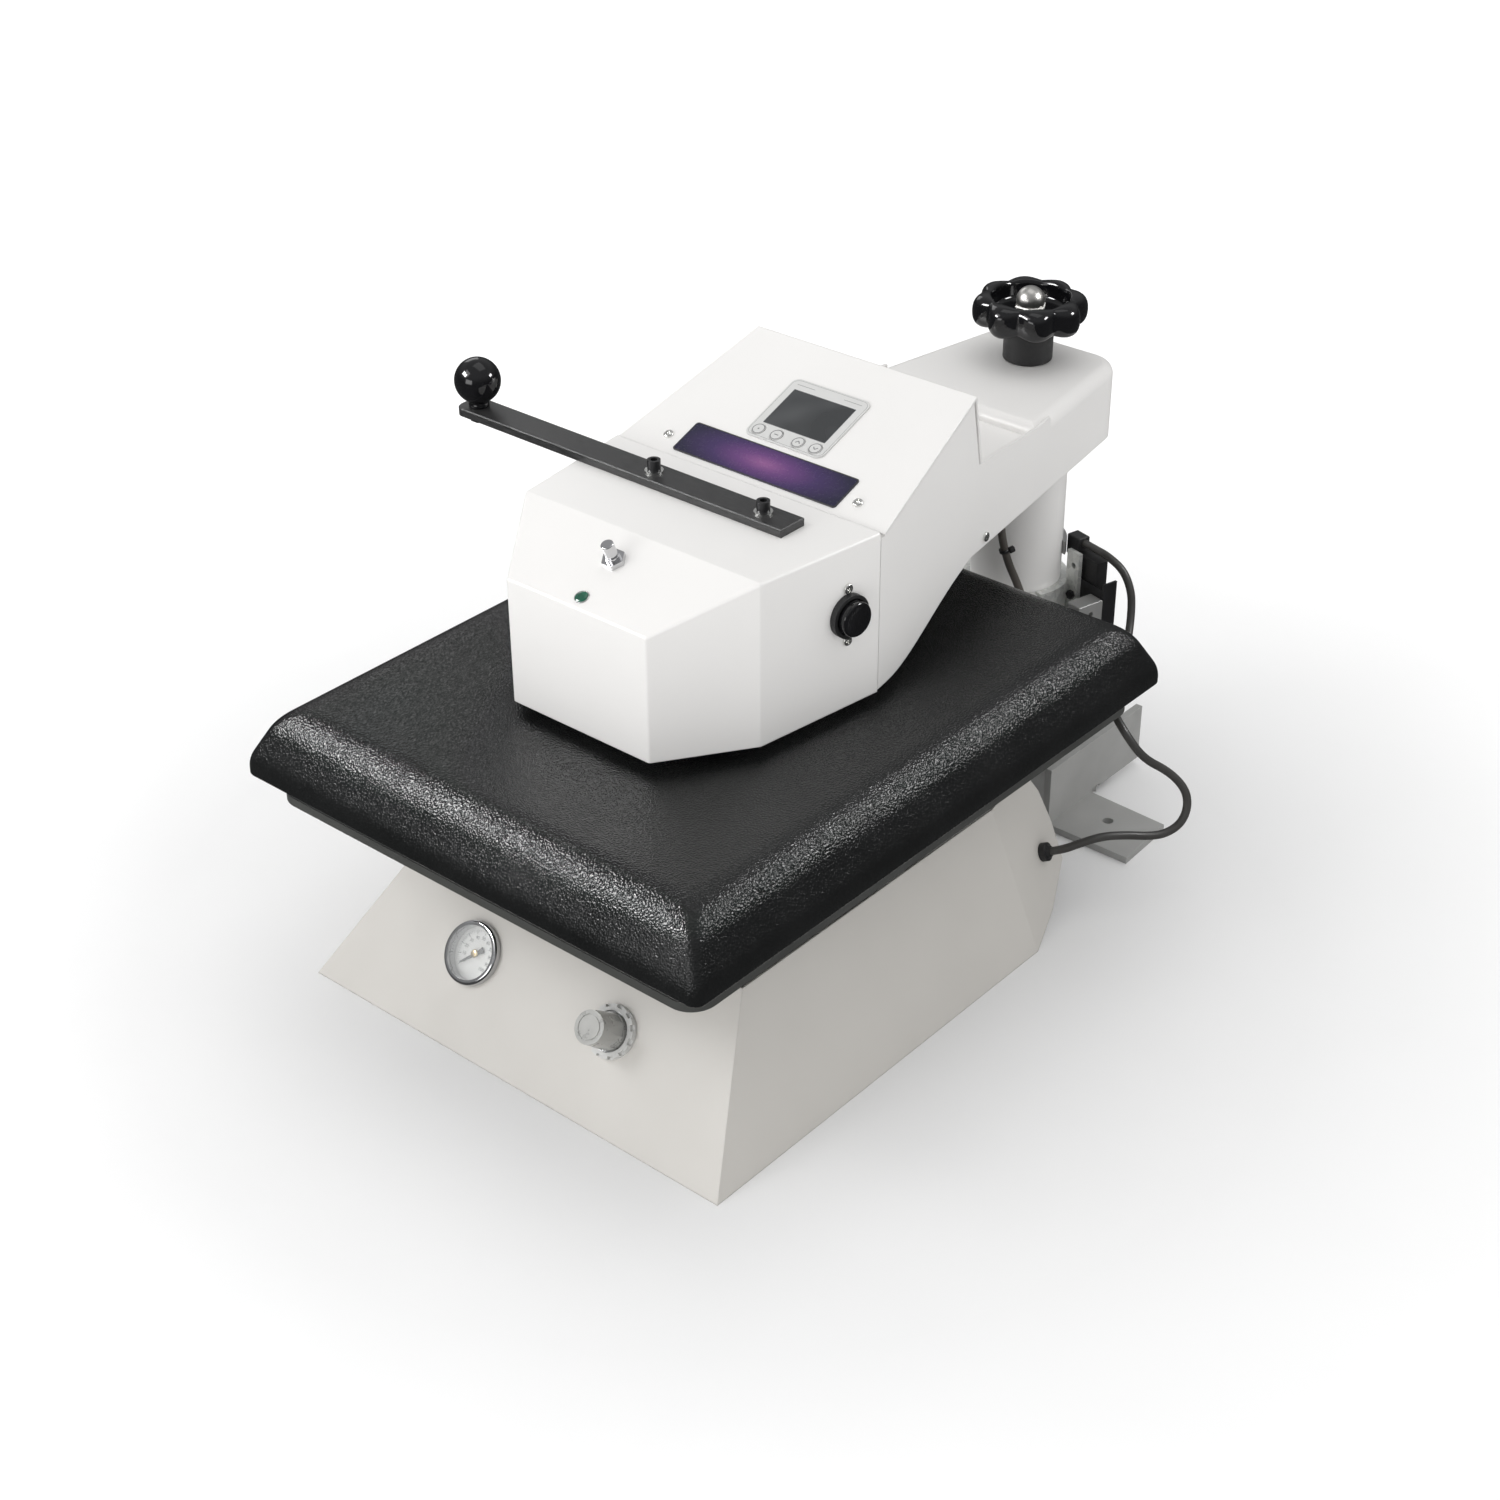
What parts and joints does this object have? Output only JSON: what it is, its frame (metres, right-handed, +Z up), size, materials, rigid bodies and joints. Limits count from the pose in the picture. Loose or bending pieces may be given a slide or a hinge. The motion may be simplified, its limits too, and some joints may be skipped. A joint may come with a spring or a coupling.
{
  "type": "air-operated swing-away heat press",
  "caption": "Air-operated flat heat press: a covered hot platen on an arm that swings about a rear column, over a lifting padded table on a sloped base.",
  "frame": {"origin": "on the floor under the middle of the lower table", "axes": "+Z up, -Y towards the operator, +X to the operator's right; the column stands at +Y"},
  "size_m": [0.4918, 0.698, 0.4266],
  "materials": {
    "warm_grey_paint": "satin",
    "white_paint": "semi_gloss",
    "grey_steel": "satin",
    "cast_foot": "matte",
    "zinc": "galvanised",
    "dark_steel": "blackened",
    "black_plastic": "matte",
    "textured_black": "pebbled",
    "black_bar": "rough",
    "black_gloss": "gloss",
    "light_plastic": "satin",
    "cylinder_alloy": "anodised",
    "bronze": "bearing bronze",
    "brass": "turned",
    "chrome": "polished",
    "dial_white": "printed",
    "needle_black": "matte",
    "lens_clear": "clear",
    "table_alloy": "milled",
    "pad_grey": "matte",
    "platen_alloy": "ground, coated",
    "insulation_wool": "matte",
    "cable_rubber": "matte",
    "cable_brown": "matte",
    "plate_violet": "printed film",
    "controller_white": "printed film",
    "display_dark": "lcd",
    "key_grey": "matte",
    "lamp_green": "translucent"
  },
  "bodies": {
    "base": {"base_housing": "warm_grey_paint", "base_frame": "cast_foot", "column_socket": "grey_steel", "bearing_collar": "zinc", "collar_screws": "dark_steel", "rear_feet": "cast_foot", "proximity_switch": "black_plastic", "switch_bracket": "dark_steel", "stop_block": "grey_steel", "air_cylinder": "cylinder_alloy", "lift_deck": "cast_foot", "bronze_bushes": "bronze", "air_valve": "cylinder_alloy", "gauge_case": "chrome", "gauge_dial": "dial_white", "gauge_lens": "lens_clear", "regulator_body": "cylinder_alloy", "regulator_ring": "light_plastic", "air_inlet": "brass", "cable_glands": "black_plastic", "switch_cable": "cable_rubber", "heater_cable": "cable_brown"},
    "table": {"lower_table": "table_alloy", "silicone_pad": "pad_grey", "guide_rods": "grey_steel", "piston_rod": "grey_steel"},
    "column": {"column": "white_paint", "switch_target": "grey_steel"},
    "head": {"arm_beam": "dark_steel", "arm_housing": "white_paint", "control_hood": "white_paint", "head_cover": "white_paint", "platen_cover": "textured_black", "heat_platen": "platen_alloy", "heating_element": "dark_steel", "insulation": "insulation_wool", "platen_hanger": "grey_steel", "handle_bar": "black_bar", "ball_knob": "black_gloss", "handle_screws": "dark_steel", "handle_washers": "zinc", "panel_screws": "zinc", "label_plate": "plate_violet", "controller": "controller_white", "display_lens": "display_dark", "timer_bushing": "chrome", "pilot_lamp": "lamp_green", "start_bases": "black_plastic"},
    "wheel": {"handwheel": "black_gloss", "spindle": "grey_steel", "wheel_nut": "zinc"},
    "needle": {"gauge_needle": "needle_black"},
    "knob": {"regulator_knob": "light_plastic"},
    "start_right": {"start_cap_right": "black_gloss"},
    "start_left": {"start_cap_left": "black_gloss"},
    "timer": {"timer_button": "chrome"},
    "key_a": {"key_1": "key_grey"},
    "key_b": {"key_2": "key_grey"},
    "key_c": {"key_3": "key_grey"},
    "key_d": {"key_4": "key_grey"}
  },
  "joints": [
    {"name": "head_swing", "type": "hinge", "parent": "base", "child": "column", "pos_m": [0, 0.383, 0], "axis": [0, 0, 1], "range_deg": [-105, 0], "deforming": ["heater_cable"]},
    {"name": "head_height", "type": "slide", "parent": "column", "child": "head", "axis": [0, 0, 1], "range_m": [0, 0.02]},
    {"name": "wheel_turn", "type": "hinge", "parent": "head", "child": "wheel", "pos_m": [0, 0.383, 0.4], "axis": [0, 0, 1], "range_deg": [0, 2835]},
    {"name": "table_lift", "type": "slide", "parent": "base", "child": "table", "axis": [0, 0, 1], "range_m": [0, 0.0029]},
    {"name": "gauge_sweep", "type": "hinge", "parent": "base", "child": "needle", "pos_m": [-0.072, -0.19143, 0.056], "axis": [0, 0.7893, -0.6141], "range_deg": [0, 270]},
    {"name": "regulator_turn", "type": "hinge", "parent": "base", "child": "knob", "pos_m": [0.069, -0.19221, 0.055], "axis": [0, 0.7893, -0.6141], "range_deg": [0, 1080]},
    {"name": "start_press_right", "type": "slide", "parent": "head", "child": "start_right", "axis": [-0.9904, 0.1384, 0], "range_m": [0, 0.004], "stiffness_N_per_m": 900},
    {"name": "start_press_left", "type": "slide", "parent": "head", "child": "start_left", "axis": [0.9904, 0.1384, 0], "range_m": [0, 0.004], "stiffness_N_per_m": 900},
    {"name": "timer_press", "type": "slide", "parent": "head", "child": "timer", "axis": [0, 0.3999, -0.9165], "range_m": [0, 0.003], "stiffness_N_per_m": 700},
    {"name": "key_1_press", "type": "slide", "parent": "head", "child": "key_a", "axis": [0, 0.3496, -0.9369], "range_m": [0, 0.0006], "stiffness_N_per_m": 1500},
    {"name": "key_2_press", "type": "slide", "parent": "head", "child": "key_b", "axis": [0, 0.3496, -0.9369], "range_m": [0, 0.0006], "stiffness_N_per_m": 1500},
    {"name": "key_3_press", "type": "slide", "parent": "head", "child": "key_c", "axis": [0, 0.3496, -0.9369], "range_m": [0, 0.0006], "stiffness_N_per_m": 1500},
    {"name": "key_4_press", "type": "slide", "parent": "head", "child": "key_d", "axis": [0, 0.3496, -0.9369], "range_m": [0, 0.0006], "stiffness_N_per_m": 1500}
  ],
  "couplings": [
    {"joint": "wheel_turn", "follows": "head_height", "rad_per_m": 2473.7}
  ]
}
